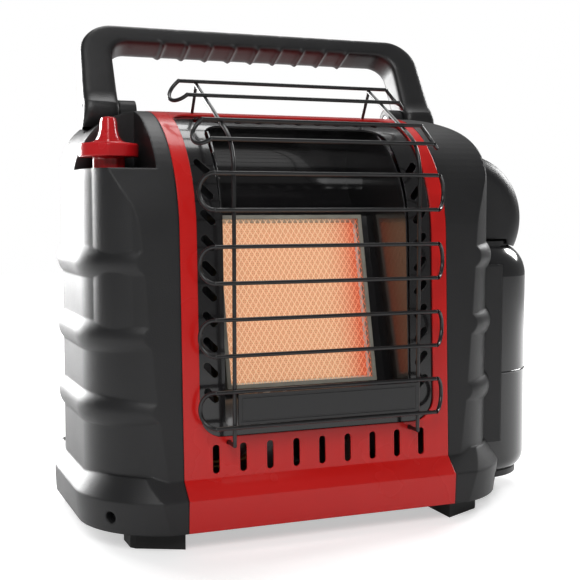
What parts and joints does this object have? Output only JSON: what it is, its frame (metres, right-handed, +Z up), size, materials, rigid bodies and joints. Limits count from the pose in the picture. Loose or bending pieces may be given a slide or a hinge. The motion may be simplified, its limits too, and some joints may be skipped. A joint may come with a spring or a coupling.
{
  "type": "portable propane heater",
  "caption": "Portable radiant propane heater: red steel casing, charcoal end covers, wire guard over a glowing burner, folding handle, gas cylinder in a side bay.",
  "frame": {"origin": "middle of the bounding box's footprint, on the floor the feet stand on", "axes": "+Z up, -Y out of the burner's front, +X towards the gas cylinder (the right as seen from the front)"},
  "size_m": [0.3824, 0.1926, 0.3723],
  "materials": {
    "red_enamel": "gloss baked enamel on steel sheet",
    "black_enamel": "gloss black heat-proof enamel",
    "steel": "plain zinc-plated steel",
    "charcoal_plastic": "moulded plastic with a fine grain",
    "black_plastic": "black moulded plastic, satin",
    "foot_rubber": "black rubber",
    "tile_ceramic": "unglazed ceramic",
    "gasket_felt": "white fibre felt",
    "cream_enamel": "cream enamel",
    "glowing_screen": "expanded steel, glowing orange in use, emissive",
    "guard_wire": "black enamel, satin",
    "brass": "plain machined brass",
    "knob_red": "bright red moulded plastic, gloss",
    "pale_plastic": "pale moulded plastic",
    "cast_alloy": "die-cast alloy, as cast",
    "cylinder_paint": "gloss black paint on steel"
  },
  "bodies": {
    "casing": {"front_casing": "red_enamel", "base_pan": "black_enamel", "back_panel": "black_enamel", "side_plate_left": "steel", "side_plate_right": "steel", "left_end_cover": "charcoal_plastic", "right_end_cover": "charcoal_plastic", "foot_front_left": "foot_rubber", "foot_front_right": "foot_rubber", "foot_rear_left": "foot_rubber", "foot_rear_right": "foot_rubber", "reflector_frame": "black_enamel", "reflector_box": "black_enamel", "burner_plenum": "steel", "ceramic_tile": "tile_ceramic", "tile_gasket": "gasket_felt", "burner_frame": "cream_enamel", "burner_screen": "glowing_screen", "mixing_tube": "steel", "gas_jet": "brass", "jet_bracket": "steel", "heat_shield": "steel", "wire_guard": "guard_wire", "guard_plate": "guard_wire", "control_valve": "brass", "valve_bracket": "steel", "piezo_igniter": "black_plastic", "pilot_burner": "brass", "pilot_bracket": "steel", "spark_electrode": "tile_ceramic", "thermocouple": "steel", "tip_switch_case": "pale_plastic", "swivel_elbow": "brass", "elbow_bracket": "steel", "supply_tube": "brass", "burner_tube": "brass", "pilot_tube": "brass", "cover_screws": "steel", "back_screws": "steel", "foot_screws": "steel"},
    "handle": {"handle": "black_plastic", "handle_pivots": "steel"},
    "push": {"striker_plate": "steel", "igniter_plunger": "pale_plastic"},
    "knob": {"valve_stem": "brass", "control_knob": "knob_red"},
    "pendulum": {"tip_pendulum": "brass"},
    "regulator": {"regulator_body": "cast_alloy", "regulator_cap": "cast_alloy", "inlet_nut": "brass", "inlet_seal": "foot_rubber", "regulator_hood": "charcoal_plastic"},
    "cylinder": {"gas_cylinder": "cylinder_paint", "cylinder_valve": "brass", "cylinder_foot": "black_plastic"}
  },
  "joints": [
    {"name": "handle_fold", "type": "hinge", "parent": "casing", "child": "handle", "pos_m": [-0.02325, 0.03575, 0.305], "axis": [-1, 0, 0], "range_deg": [0, 47]},
    {"name": "knob_push", "type": "slide", "parent": "casing", "child": "push", "axis": [0, 0, -1], "range_m": [0, 0.006], "stiffness_N_per_m": 600, "springref_m": -0.004},
    {"name": "knob_turn", "type": "hinge", "parent": "push", "child": "knob", "pos_m": [-0.16225, -0.02075, 0.27], "axis": [0, 0, 1], "range_deg": [-180, 0]},
    {"name": "regulator_swivel", "type": "hinge", "parent": "casing", "child": "regulator", "pos_m": [0.13175, 0.03225, 0.224], "axis": [0, -1, 0], "range_deg": [0, 40]},
    {"name": "cylinder_turn", "type": "hinge", "parent": "regulator", "child": "cylinder", "pos_m": [0.14175, 0.00225, 0.212], "axis": [0, 0, 1], "range_deg": [0, 1440]},
    {"name": "tip_swing", "type": "hinge", "parent": "casing", "child": "pendulum", "pos_m": [0.03175, -0.00275, 0.0428], "axis": [1, 0, 0], "range_deg": [-20, 20]}
  ]
}
